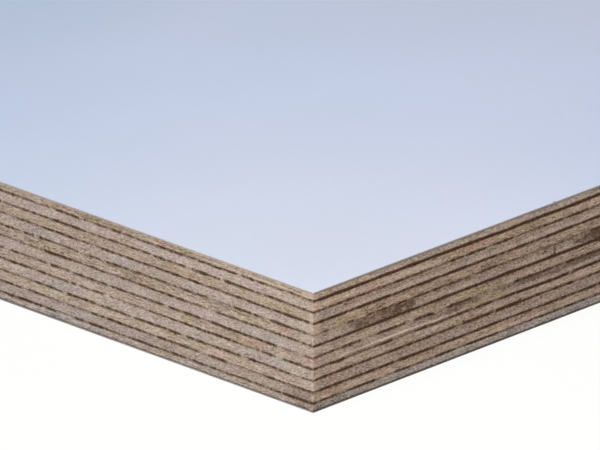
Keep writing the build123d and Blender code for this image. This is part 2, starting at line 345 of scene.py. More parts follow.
# ------------------------------------------------------- marks on the veneers
# side, veneer, from and to in mm from the corner, low and high share of the
# veneer's height, kind, strength
MARKS = [
    # dark knotty figure in the fifth veneer of the short side
    ("b", 5, 6.6, 9.6, .05, 1.0, "dark", .55), ("b", 5, 8.8, 11.6, .0, .85, "dark", .30),
    ("b", 5, 11.2, 12.6, .0, 1.0, "dark", .55), ("b", 5, 13.2, 15.2, .0, 1.0, "dark", .95),
    ("b", 5, 15.2, 17.4, .0, .95, "dark", .58), ("b", 5, 8.8, 13.4, .1, .9, "red", .50),
    ("b", 5, 44.4, 47.2, .20, .70, "dark", .60), ("b", 5, 46.0, 57.0, .02, 1.0, "dark", .75),
    ("b", 5, 40.9, 41.25, .0, .95, "dark", .62), ("b", 6, 40.2, 40.7, .5, .9, "dark", .35),
    # seventh veneer of the short side
    ("b", 7, 17.6, 20.6, .62, .95, "dark", .14), ("b", 7, 19.6, 21.4, .45, .80, "dark", .16),
    ("b", 7, 22.0, 25.6, .30, .95, "dark", .48), ("b", 7, 25.5, 33.4, .0, 1.0, "olive", .48), ("b", 6, 27.0, 34.0, .0, .40, "olive", .60),
    ("b", 7, 28.6, 31.8, .42, .80, "bright", 1.0), ("b", 7, 21.0, 25.4, .45, .90, "dark", .26),
    ("b", 5, 12.4, 13.4, .0, 1.0, "dark", .58),
    ("b", 7, 34.4, 39.0, .45, 1.0, "dark", .42), ("b", 7, 41.0, 57.0, .45, 1.0, "dark", .50),
    ("b", 7, 25.0, 28.6, .5, .95, "dark", .22),
    ("b", 7, 14.6, 16.6, .55, 1.0, "pale", .45), ("b", 7, 21.0, 22.2, .05, .5, "pale", .5),
    # long lanes of lighter and darker fibre on the short side; the lighter lanes also carry a painted sheen
    ("b", 1, 0.6, 58.0, .30, .90, "bright", .45),
    ("b", 2, 0.6, 25.0, .18, .68, "bright", 1.0), ("b", 2, 23.0, 58.0, .15, .75, "bright", .34),
    ("b", 3, 0.6, 58.0, .05, .50, "bright", .56), ("b", 3, 0.6, 58.0, .52, .80, "dim", .42),
    ("b", 4, 0.6, 58.0, .10, .50, "dim", .12),
    ("b", 5, 0.6, 58.0, .05, .50, "bright", .50), ("b", 5, 0.6, 58.0, .56, .90, "dim", .58),
    ("b", 6, 0.6, 27.0, .05, .66, "bright", .50), ("b", 6, 25.0, 58.0, .10, .60, "bright", .28),
    ("b", 6, 25.0, 58.0, .62, 1.0, "dim", .46),
    ("b", 5, 0.0, 4.5, .0, 1.0, "bright", .40),
    ("b", 6, 0.0, 3.4, .3, 1.0, "bright", .90), ("b", 7, 0.0, 3.0, .0, 1.0, "bright", .45),
    ("b", 8, 0.0, 4.0, .0, .9, "bright", .55), ("b", 9, 0.0, 2.4, .0, 1.0, "bright", .45),
    ("b", 4, 1.0, 4.0, .2, 1.0, "bright", .45), ("b", 1, 0.6, 3.0, .1, 1.0, "bright", .45),
    ("b", 2, 0.6, 3.4, .1, .9, "bright", .60), ("b", 7, 0.6, 24.0, .18, .50, "bright", .42), ("b", 7, 21.0, 58.0, .42, 1.0, "dim", .70),
    ("b", 7, 22.0, 58.0, .12, .42, "bright", .26),
    ("b", 8, 0.6, 27.0, .22, .85, "bright", .80), ("b", 8, 25.0, 58.0, .25, .85, "bright", .72),
    ("b", 9, 0.6, 58.0, .05, .52, "bright", .30), ("b", 9, 25.0, 58.0, .55, .95, "dim", .34),
    ("b", 10, 0.6, 27.0, .10, .60, "bright", .48), ("b", 10, 25.0, 58.0, .04, .48, "bright", .80),
    ("b", 10, 25.0, 58.0, .60, .95, "dim", .15),
    ("b", 11, 0.6, 58.0, .40, .90, "bright", .66),
    ("b", 11, 3.6, 58.0, .0, .42, "bright", .50), ("b", 11, 0.0, 6.0, .0, 1.0, "dim", .38),
    # on the bottom veneer, the greyer lower part along the whole side is painted bounce light from the floor
    ("b", 1, 0.0, 58.0, .45, 1.0, "grey", .40), ("b", 11, 0.6, 58.0, .0, .42, "grey", .50),
    # the bright torn fibre along the seventh veneer, pale wood with a painted highlight on it, and a painted shadow
    # over it
    ("b", 7, 3.0, 9.6, .26, .40, "light", .40), ("b", 7, 7.6, 19.2, .27, .41, "light", 1.0),
    ("b", 7, 17.0, 22.0, .24, .38, "light", .70), ("b", 7, 9.0, 17.0, .46, .56, "dim", .25),
    # second, fourth, tenth, others on the short side
    ("b", 2, 1.8, 5.2, .2, .8, "pale", .85), ("b", 2, 8.8, 12.4, .05, .50, "red", .75),
    ("b", 2, 11.5, 21.0, .30, .62, "pale", .45), ("b", 2, 25.5, 31.0, .25, .75, "red", .75),
    ("b", 2, 32.0, 46.0, .1, .9, "olive", .15), ("b", 2, 32.0, 40.0, .1, .9, "dim", .25),
    ("b", 4, 3.5, 8.0, .05, .9, "olive", .55), ("b", 4, 8.5, 15.0, .2, .9, "red", .15), ("b", 4, 44.5, 48.0, .5, 1.0, "dim", .15),
    ("b", 4, 24.5, 28.0, .0, .5, "red", .50), ("b", 4, 31.5, 36.5, .3, 1.0, "pale", .22),
    ("b", 4, 41.0, 47.0, .3, 1.0, "pale", .15), ("b", 4, 18.0, 23.0, .4, .9, "dim", .35),
    ("b", 3, 0.0, 6.0, .15, .8, "grey", .5), ("b", 3, 7.0, 20.0, .1, .45, "pale", .25),
    ("b", 3, 25.0, 34.0, .4, .9, "grey", .20), ("b", 3, 26.0, 28.6, .2, .9, "dim", .40), ("b", 3, 4.7, 6.2, .6, .8, "dark", .35),
    ("b", 6, 24.5, 30.5, .1, .9, "olive", .6),
    ("b", 6, 34.0, 45.0, .3, .9, "pale", .35),
    ("b", 8, 15.0, 20.5, .2, .9, "olive", .18), ("b", 8, 11.0, 14.0, .2, .8, "dim", .25),
    ("b", 8, 33.0, 39.0, .4, .9, "pale", .18),
    ("b", 10, 1.0, 4.5, .2, .9, "red", .30), ("b", 10, 4.5, 12.0, .3, .8, "pale", .25),
    ("b", 10, 30.0, 38.0, .2, .9, "red", .15), ("b", 10, 17.0, 24.0, .2, .9, "olive", .18),
    ("b", 11, 5.5, 11.0, .1, 1.0, "grey", .60),
    ("b", 11, 0.5, 5.0, .0, .8, "grey", .5), ("b", 11, 35.0, 45.0, .1, .9, "grey", .4),
    ("b", 1, 7.0, 11.0, .0, .6, "red", .25), ("b", 1, 24.0, 30.0, .2, .9, "olive", .35),
    ("b", 1, 32.6, 36.2, .3, .9, "pale", .40),
    # the long side
    ("a", 1, 39.0, 44.5, .1, .9, "red", .60), ("a", 1, 34.5, 37.5, .2, .9, "olive", .55),
    ("a", 1, 36.0, 38.5, .2, 1.0, "dark", .25), ("a", 1, 27.5, 34.0, .0, .9, "olive", .31),
    ("a", 1, 29.6, 31.5, .1, .8, "red", .5), 
    ("a", 1, 17.0, 20.6, .1, .9, "olive", .34), ("a", 1, 12.0, 16.5, .1, .9, "red", .35),
    ("a", 1, 22.0, 25.5, .1, .9, "red", .4), ("a", 1, 4.0, 8.5, .1, .9, "pale", .30),
    ("a", 1, 0.0, 2.0, .1, .95, "pale", 1.0), ("a", 1, 0.0, 2.2, .0, 1.0, "bright", .45), ("a", 1, 0.3, 24.0, .2, 1.0, "bright", .28),
    ("a", 2, 0.3, 24.0, .1, .9, "bright", .20), ("a", 4, 0.3, 24.0, .1, .9, "bright", .20),
    ("a", 5, 0.3, 24.0, .05, .48, "bright", .15), ("a", 5, 0.3, 24.0, .55, .95, "dim", .22),
    ("a", 6, 0.3, 24.0, .05, .6, "bright", .22), ("a", 8, 0.3, 24.0, .4, .9, "bright", .20),
    ("a", 11, 24.0, 58.0, .1, .9, "bright", .30),
    ("a", 3, 44.0, 48.5, .1, .9, "olive", .20), ("a", 3, 34.0, 40.0, .5, 1.0, "olive", .24),
    ("a", 3, 19.5, 23.5, .2, .9, "red", .45), ("a", 3, 1.0, 9.5, .0, .9, "olive", .65),
    ("a", 3, 1.5, 4.0, .2, .7, "pale", .2), ("a", 3, 12.0, 16.0, .2, .9, "red", .25),
    ("a", 5, 40.0, 47.5, .0, .9, "olive", .28), ("a", 5, 24.5, 31.0, .2, .9, "olive", .3),
    ("a", 5, 26.0, 29.0, .2, .9, "red", .45),
    ("a", 5, 13.8, 16.2, .0, 1.0, "dark", .18), ("a", 5, 8.0, 13.5, .2, .9, "olive", .36),
    ("a", 5, 3.0, 6.5, .1, .9, "red", .55),
    ("a", 5, 17.0, 21.5, .2, .9, "red", .3), ("a", 5, 0.3, 2.2, .1, .9, "pale", .5),
    ("a", 7, 7.5, 12.0, .1, .9, "red", .60), ("a", 7, 19.5, 21.5, .2, .9, "olive", .4),
    ("a", 7, 12.0, 14.0, .1, .9, "olive", .35), ("a", 7, 0.3, 1.6, .1, .9, "red", .5),
    ("a", 7, 36.0, 43.0, .3, .9, "red", .2),
    ("a", 9, 38.5, 46.0, .1, .9, "olive", .37), ("a", 9, 27.0, 34.0, .1, .9, "olive", .10),
    ("a", 9, 19.5, 24.0, .1, .9, "olive", .24), ("a", 9, 13.0, 16.5, .3, .9, "red", .35),
    ("a", 9, 8.0, 12.0, .0, .5, "pale", .25),
    ("a", 11, 34.0, 47.0, .0, .9, "grey", .45), ("a", 11, 14.0, 22.0, .0, .9, "grey", .35),
    ("a", 2, 25.0, 28.0, .2, .9, "grey", .4), ("a", 2, 35.0, 40.5, .2, .9, "grey", .3),
    ("a", 4, 42.0, 49.0, .1, .9, "grey", .35), ("a", 4, 29.5, 34.0, .1, .9, "grey", .45),
    ("a", 4, 19.0, 21.0, .1, .8, "grey", .25), ("a", 6, 30.0, 36.0, .1, .9, "grey", .18),
    ("a", 6, 5.0, 12.0, .1, .9, "grey", .35), ("a", 8, 38.0, 44.0, .1, .9, "grey", .35),
    ("a", 8, 3.0, 9.0, .1, .9, "grey", .35), ("a", 10, 36.8, 38.2, .25, .8, "pale", .30),
    ("a", 10, 36.0, 42.0, .1, .9, "grey", .25), ("a", 10, 0.0, 7.0, .0, .5, "dark", .26),
    ("a", 10, 0.0, 3.4, .0, 1.0, "dim", .75), ("a", 11, 0.0, 3.0, .0, 1.0, "dim", .75),
    ("a", 8, 0.0, 2.4, .0, 1.0, "dim", .45), ("a", 9, 0.4, 2.4, .1, .9, "bright", .35), ("a", 7, 0.6, 2.4, .1, 1.0, "bright", .40),
    ("a", 1, 17.0, 21.0, .1, .9, "dim", .32), ("a", 1, 27.5, 34.0, .0, .9, "dim", .28),
    ("a", 7, 7.5, 14.0, .1, .9, "dim", .26), ("a", 4, 42.0, 49.0, .1, .9, "dim", .20),
    ("a", 4, 18.6, 21.4, .1, .9, "bright", .40), ("a", 9, 38.0, 46.0, .1, .9, "bright", .28),
    ("a", 10, 36.0, 39.0, .2, .9, "bright", .35), ("a", 9, 19.5, 24.0, .1, .9, "dim", .18),
    ("a", 7, 36.0, 43.0, .2, .9, "bright", .24), ("a", 3, 11.5, 16.0, .1, .9, "bright", .26),
    ("a", 5, 13.8, 16.2, .0, 1.0, "bright", .24), ("a", 5, 17.0, 21.5, .1, .9, "dim", .16),
]
# small dark pits, mm from the corner and height above the underside
PITS = [("a", 45.9, 9.70, .16), ("b", 5.6, 12.05, .10), ("b", 7.0, 12.0, .08),
        ("b", 20.9, 5.35, .12), ("a", 31.0, 13.8, .10), ("b", 40.5, 8.4, .10),
        ("b", 34.2, 7.3, .07), ("a", 8.4, 13.85, .10), ("a", 3.6, 13.9, .12)]


def marks_for(ply, side, d_mm, v, kind):
    """Strength of the marks of one kind on the side vertices of a veneer."""
    total = np.zeros_like(v)
    for n, (w, p, a, b, low, high, what, much) in enumerate(MARKS):
        if p != ply or what != kind:
            continue
        on = (side == (0 if w == "a" else 1)) & (d_mm < 60)
        wob = 0.30 * noise2(d_mm / 0.9, v * 5, 500 + n) + 0.12 * noise2(d_mm / 0.3, v * 9, 700 + n)
        if kind in ("light", "bright", "dim"):
            wob = wob * 0.35
        u = (d_mm - (a + b) / 2) / ((b - a) / 2)
        w_ = (v - (low + high) / 2) / ((high - low) / 2)
        r = np.sqrt(np.abs(u) ** 2.6 + np.abs(w_) ** 3.2) + wob
        total = np.maximum(total, on * much * (1 - step(0.62, 1.12, r)))
    if kind in ("dark", "red", "olive", "grey"):
        total = np.minimum(total * np.where(side == 1, 1.35, 1.15), 1.0)
    return total


# ------------------------------------------------------------ mesh in layers
GRID = (20, 10)                  # cells of the broad faces
INSET = 3 * MM                   # where the broad faces' grid begins


def inner_ring():
    """Points round the broad faces' grid, in the order of the columns."""
    nx, ny = GRID
    xs = np.linspace(X0 + INSET, X1 - INSET, nx + 1)
    ys = np.linspace(Y0 + INSET, Y1 - INSET, ny + 1)
    ids = np.arange((nx + 1) * (ny + 1)).reshape(ny + 1, nx + 1)
    pts = np.stack(np.meshgrid(xs, ys), -1).reshape(-1, 2)
    ring = list(ids[0, :]) + list(ids[1:, -1]) + list(ids[-1, -2::-1]) + list(ids[-2:0:-1, 0])
    par = [i / nx for i in range(nx + 1)] + [1 + j / ny for j in range(1, ny + 1)]
    par += [2 + i / nx for i in range(1, nx + 1)] + [3 + j / ny for j in range(1, ny)]
    quads = [(ids[j, i], ids[j, i + 1], ids[j + 1, i + 1], ids[j + 1, i])
             for j in range(ny) for i in range(nx)]
    return pts, ring, par, quads


RING_PTS, RING, RING_PAR, RING_QUADS = inner_ring()


def zipper():
    """Triangles between the outline (o) and the grid's edge (r), closed."""
    po, pr = list(cols["par"]), list(RING_PAR)
    tris, i, j = [], 0, 0
    no, nr = len(po), len(pr)
    while i < no or j < nr:
        o_next = po[i + 1] if i + 1 < no else 4 + po[0]
        r_next = pr[j + 1] if j + 1 < nr else 4 + pr[0]
        if j >= nr or (i < no and o_next <= r_next):
            tris.append((("o", i), ("o", (i + 1) % no), ("r", j % nr)))
            i += 1
        else:
            tris.append((("o", i % no), ("r", (j + 1) % nr), ("r", j)))
            j += 1
    return tris


ZIP = zipper()
ZO = np.array([[t[0][1] if t[0][0] == "o" else -1 - t[0][1],
                t[1][1] if t[1][0] == "o" else -1 - t[1][1],
                t[2][1] if t[2][0] == "o" else -1 - t[2][1]] for t in ZIP])

UV_DENSE = 0.0598 * MM            # length of one texel near the corner
TEX = 1024
EDGE_PX = 3


def rows_of_atlas(film):
    """For each column gap: the atlas row, u at its start and end, and the
    row's low and high v."""
    usable = TEX - 2 * EDGE_PX
    gap_len = np.diff(np.append(S, s_run))
    dense = FINE_COL & np.roll(FINE_COL, -1)
    dense[-1] = False
    h_dense, h_far, pad = (8, 4, 3) if film else (26, 12, 4)
    far_len = float(gap_len[~dense].sum())
    per_row = far_len / (46 - 0.5)
    row, u0, u1, low, high = [], [], [], [], []
    top = TEX - pad
    run, was = 0.0, None
    for g in range(NC):
        limit = usable * UV_DENSE if dense[g] else per_row
        if was is None or dense[g] != was or run + gap_len[g] > limit:
            run = 0.0
            h = h_dense if dense[g] else h_far
            top -= h + pad
        was = dense[g]
        row.append(0)
        u0.append((EDGE_PX + usable * run / limit) / TEX)
        run += gap_len[g]
        u1.append((EDGE_PX + usable * min(run / limit, 1)) / TEX)
        low.append(top / TEX)
        high.append((top + h) / TEX)
    return np.array(u0), np.array(u1), np.array(low), np.array(high), top


def build_layer(name, rows_fine, rows_far, attributes, materials, edge_slot,
                film=False, top_slot=0, bottom_slot=0):
    """One closed layer. rows_* give, for each row from the bottom up, arrays
    over all columns: (inset, height, {attribute: value})."""
    nf, nr = len(rows_fine), len(rows_far)
    key = nf == nr
    # vertices of the side
    start = np.zeros(NC, int)
    count = np.where(FINE_COL, nf, nr)
    start[1:] = np.cumsum(count)[:-1]
    nside = int(count.sum())
    co = np.zeros((nside, 3))
    attr = {a: np.zeros(nside) for a in attributes}
    for fine, rows in ((True, rows_fine), (False, rows_far)):
        c = np.where(FINE_COL == fine)[0]
        for j, (inset, z, values) in enumerate(rows):
            at = start[c] + j
            co[at, 0] = cols["x"][c] - cols["nx"][c] * inset[c]
            co[at, 1] = cols["y"][c] - cols["ny"][c] * inset[c]
            co[at, 2] = z[c]
            for a in attributes:
                attr[a][at] = values[a][c]
    low_ids, high_ids = start, start + count - 1
    faces, fslot, smooth, uvs = [], [], [], []
    u0, u1, vlow, vhigh, atlas_top = rows_of_atlas(film)
    zlo, zhi = co[low_ids, 2], co[high_ids, 2]

    def frac(ids, c):
        return (co[ids, 2] - zlo[c]) / np.maximum(zhi[c] - zlo[c], 1e-9)

    nxt = (np.arange(NC) + 1) % NC

    def uv_at(g, ids, c, right):
        v = vlow[g] + (vhigh[g] - vlow[g]) * frac(ids, c)
        u = np.where(right, u1[g], u0[g])
        return np.stack([u, v], -1)

    def quads_for(g, ja, jb):
        """Quads in gaps g, from row ja (left) / jb (right) to the next row."""
        i, k = g, nxt[g]
        a, b = start[i] + ja, start[k] + jb
        f = np.stack([a, b, b + 1, a + 1], 1)
        t = np.stack([uv_at(g, a, i, False), uv_at(g, b, k, True),
                      uv_at(g, b + 1, k, True), uv_at(g, a + 1, i, False)], 1)
        return f, t

    quad_f, quad_t = [], []
    both_fine = np.where(FINE_COL & FINE_COL[nxt])[0]
    both_far = np.where(~FINE_COL & ~FINE_COL[nxt])[0]
    for j in range(nf - 1):
        f, t = quads_for(both_fine, j, j)
        quad_f.append(f); quad_t.append(t)
    for j in range(nr - 1):
        f, t = quads_for(both_far, j, j)
        quad_f.append(f); quad_t.append(t)
    tri_f, tri_t = [], []
    for g in np.where(FINE_COL != FINE_COL[nxt])[0]:
        i, k = g, nxt[g]
        if key:
            for j in range(nf - 1):
                f, t = quads_for(np.array([g]), j, j)
                quad_f.append(f); quad_t.append(t)
            continue
        left_n, right_n = count[i], count[k]
        head = (nr - 1) // 2             # rows shared at the bottom
        for j in range(head - 1):
            f, t = quads_for(np.array([g]), j, j)
            quad_f.append(f); quad_t.append(t)
        for j in range(1, head):
            f, t = quads_for(np.array([g]), left_n - 1 - j, right_n - 1 - j)
            quad_f.append(f); quad_t.append(t)
        L = [start[i] + j for j in range(head - 1, left_n - head + 1)]
        R = [start[k] + j for j in range(head - 1, right_n - head + 1)]
        def corner(v, right):
            c = k if right else i
            return v, uv_at(np.array([g]), np.array([v]), np.array([c]), right)[0]
        a = b = 0
        while a < len(L) - 1 or b < len(R) - 1:
            if b == len(R) - 1 or (a < len(L) - 1 and
                                   co[L[a + 1], 2] <= co[R[b + 1], 2]):
                three = [corner(L[a], False), corner(R[b], True), corner(L[a + 1], False)]
                a += 1
            else:
                three = [corner(L[a], False), corner(R[b], True), corner(R[b + 1], True)]
                b += 1
            tri_f.append([v for v, _ in three]); tri_t.append([t for _, t in three])

    # broad faces
    base = len(co)
    npts = len(RING_PTS)
    z_hi, z_lo = Z_TOP[name], Z_BOT[name]
    both = []
    for z in (z_lo, z_hi):
        both.append(np.column_stack([RING_PTS, np.full(npts, z)]))
    co = np.vstack([co] + both)
    for a in attributes:
        attr[a] = np.append(attr[a], np.zeros(2 * npts))
    ring = np.array(RING)

    def cap_ids(high):
        outline = high_ids if high else low_ids
        off = base + (npts if high else 0)
        tri = np.where(ZO >= 0, outline[np.clip(ZO, 0, None)],
                       off + ring[np.clip(-1 - ZO, 0, None)])
        quad = off + np.array(RING_QUADS)
        if not high:
            tri, quad = tri[:, ::-1], quad[:, ::-1]
        return tri, quad

    # the broad faces' places in the atlas
    if film:
        hgt = 512 / TEX
        boxes = {True: (0.003, 0.003, 0.994, hgt * 0.99),
                 False: (0.003, hgt + 0.006, 0.15, 0.075)}
    else:
        boxes = {True: (0.003, 0.003, 0.40, 0.19), False: (0.42, 0.003, 0.40, 0.19)}

    def cap_uv(ids, high):
        x, y, w, h = boxes[high]
        u = x + w * (co[ids, 0] - X0) / LENGTH
        v = y + h * (co[ids, 1] - Y0) / WIDTH
        return np.stack([u, v], -1)

    n_side_q = sum(len(f) for f in quad_f)
    quad_all = [np.concatenate(quad_f)]
    quad_uv = [np.concatenate(quad_t)]
    tri_all = [np.array(tri_f, int).reshape(-1, 3)]
    tri_uv = [np.array(tri_t, float).reshape(-1, 3, 2)]
    n_side_t = len(tri_all[0])
    q_slot, t_slot = [np.full(n_side_q, edge_slot)], [np.full(n_side_t, edge_slot)]
    q_flat, t_flat = [np.zeros(n_side_q, bool)], [np.zeros(n_side_t, bool)]
    for high in (False, True):
        tri, quad = cap_ids(high)
        tri_all.append(tri); tri_uv.append(cap_uv(tri, high))
        quad_all.append(quad); quad_uv.append(cap_uv(quad, high))
        slot = top_slot if high else bottom_slot
        q_slot.append(np.full(len(quad), slot)); t_slot.append(np.full(len(tri), slot))
        q_flat.append(np.ones(len(quad), bool)); t_flat.append(np.ones(len(tri), bool))
    quad_all, quad_uv = np.concatenate(quad_all), np.concatenate(quad_uv)
    tri_all, tri_uv = np.concatenate(tri_all), np.concatenate(tri_uv)

    me = bpy.data.meshes.new(name + "_look")
    nq, nt = len(quad_all), len(tri_all)
    me.vertices.add(len(co))
    me.vertices.foreach_set("co", co.astype(np.float32).ravel())
    me.loops.add(4 * nq + 3 * nt)
    me.loops.foreach_set("vertex_index", np.concatenate([quad_all.ravel(), tri_all.ravel()]).astype(np.int32))
    me.polygons.add(nq + nt)
    starts = np.concatenate([np.arange(nq) * 4, 4 * nq + np.arange(nt) * 3]).astype(np.int32)
    me.polygons.foreach_set("loop_start", starts)
    me.update(calc_edges=True)
    me.polygons.foreach_set("material_index", np.concatenate(q_slot + t_slot).astype(np.int32))
    sharp = me.attributes.new("sharp_face", "BOOLEAN", "FACE")
    sharp.data.foreach_set("value", np.concatenate(q_flat + t_flat))
    uv = me.uv_layers.new(name="OFBake")
    uv.uv.foreach_set("vector", np.concatenate([quad_uv.reshape(-1), tri_uv.reshape(-1)]).astype(np.float32))
    for a in attributes:
        at = me.attributes.new(a, "FLOAT", "POINT")
        at.data.foreach_set("value", attr[a].astype(np.float32))
    me.validate()
    for m in materials:
        me.materials.append(m)
    ob = bpy.data.objects.new(name + "_look", me)
    bpy.context.scene.collection.objects.link(ob)
    return ob


# --------------------------------------------------------------- the veneers
SOFT = 0.150 * MM
KINDS = ("dark", "pale", "red", "olive", "grey", "bright", "dim", "light")
ATTR = ("glue", "end_grain", "short_side") + tuple("mark_" + k for k in KINDS)


def relief(ply, z, long_grain):
    """How deep the sawn surface lies behind the true face, by column."""
    s, h = S / MM, z / MM
    side_grain = LONG if long_grain else ~LONG
    rough = np.where(LONG, 1.0, 1.7)
    # fibres along the edge on side grain, pores and torn fibre on end grain
    streak = (0.55 * noise2(s / 1.5, h / 0.16, 900 + ply) + 0.30 * noise2(s / 0.45, h / 0.12, 930 + ply)
              + 0.25 * noise2(s / 5.0, h / 0.35, 960 + ply))
    fuzz = (0.55 * noise2(s / 0.20, h / 0.20, 1000 + ply) + 0.40 * noise2(s / 0.42, h / 0.36, 1030 + ply)
            + 0.25 * noise2(s / 1.6, h / 0.5, 1060 + ply))
    depth = np.where(side_grain, 0.030 * streak + 0.014 * fuzz, 0.030 * fuzz + 0.006 * streak)
    # faint upright saw marks
    saw = 0.006 * noise1(s / 0.7 + h * 0.15, 1090) + 0.005 * noise1(s / 0.23 + h * 0.1, 1091)
    return (0.070 + (depth + saw) * rough) * MM


def veneer_rows(ply, name):
    zb, zt = Z_BOT[name], Z_TOP[name]
    low = FACTS.get(ply)             # the line under this veneer
    high = FACTS.get(ply - 1)        # the line above it
    rl, hl, dl = low if low else FLAT
    rh, hh, dh = high if high else FLAT
    bottom, top = zb + rl, zt + rh
    long_grain = ply % 2 == 1
    end = np.where(LONG if long_grain else ~LONG, 0.0, 1.0)
    thick = zt - zb

    def levels(n_mid):
        z = [(bottom, dl), (bottom + hl, 0.72 * dl), (bottom + hl + SOFT, 0 * dl)]
        a, b = bottom + hl + SOFT, top - hh - SOFT
        for i in range(1, n_mid + 1):
            z.append((a + (b - a) * i / (n_mid + 1), 0 * dl))
        z += [(top - hh - SOFT, 0 * dh), (top - hh, 0.72 * dh), (top, dh)]
        return z

    def rows(n_mid):
        out = []
        lv = levels(n_mid)
        for j, (z, glue) in enumerate(lv):
            deep = relief(ply, z, long_grain)
            at_line = j in (0, len(lv) - 1)
            in_line = j in (1, len(lv) - 2)
            has = (low if j < len(lv) / 2 else high) is not None
            if has and (at_line or in_line):
                # the glue line lies a little deeper than the wood beside it
                deep = 0.5 * deep + (0.050 if at_line else 0.030) * MM * (0.4 + 0.6 * glue)
            v = (z - bottom) / (top - bottom)
            values = {"glue": glue, "end_grain": end, "short_side": np.where(LONG, 0.0, 1.0)}
            for kind in KINDS:
                values["mark_" + kind] = marks_for(ply, SIDE, DIST / MM, v, kind)
            # paler, splintered fibre at the corner, wider on the short side; its lighter part takes the painted sheen
            # of the bright marks
            reach = np.where(ON1, 1.25, 0.55) + 0.30 * noise1(z / MM / 0.55, 1310)
            near = (1 - step(0.72, 1.10, DIST / MM / reach)) * (ON0 | ON1)
            chip = np.clip(0.55 + 0.6 * noise2(z / MM / 0.45, DIST / MM / 0.5, 1300), 0, 1)
            near = near * np.where(ON0, (1.0, 0.35)[ply % 2 == 0], 1.0) * (0.3 if ply >= 10 else 1.0)
            values["mark_pale"] = np.maximum(values["mark_pale"], near * chip * 0.55)
            values["mark_red"] = np.maximum(values["mark_red"], near * (1 - chip) * 0.7)
            values["mark_bright"] = np.maximum(values["mark_bright"], near * 0.55)
            for w, at, height, r in PITS:
                q = ((DIST / MM - at) ** 2 + (z / MM - height) ** 2) / r ** 2
                pit = on_side(w) * np.exp(-q)
                deep = deep + pit * 0.14 * MM
                values["mark_dark"] = np.maximum(values["mark_dark"], pit * 1.4)
            if ply == 1 and j >= len(lv) - 3:
                deep = deep * (1 - 0.55 * LONG)
            deep = deep + (values["mark_dark"] * 0.03 - values["mark_light"] * 0.045) * MM
            out.append((np.clip(deep, 0.0, 0.3 * MM), z, values))
        return out

    n_fine = max(3, int(round((thick - 0.46 * MM) / (0.125 * MM))))
    return rows(n_fine), rows(1)


# ------------------------------------------------------------------ materials
def new_material(name):
    m = bpy.data.materials.new(name)
    m.use_nodes = True
    nt = m.node_tree
    nt.nodes.clear()
    out = nt.nodes.new("ShaderNodeOutputMaterial")
    p = nt.nodes.new("ShaderNodeBsdfPrincipled")
    nt.links.new(p.outputs["BSDF"], out.inputs["Surface"])
    return m, nt, p


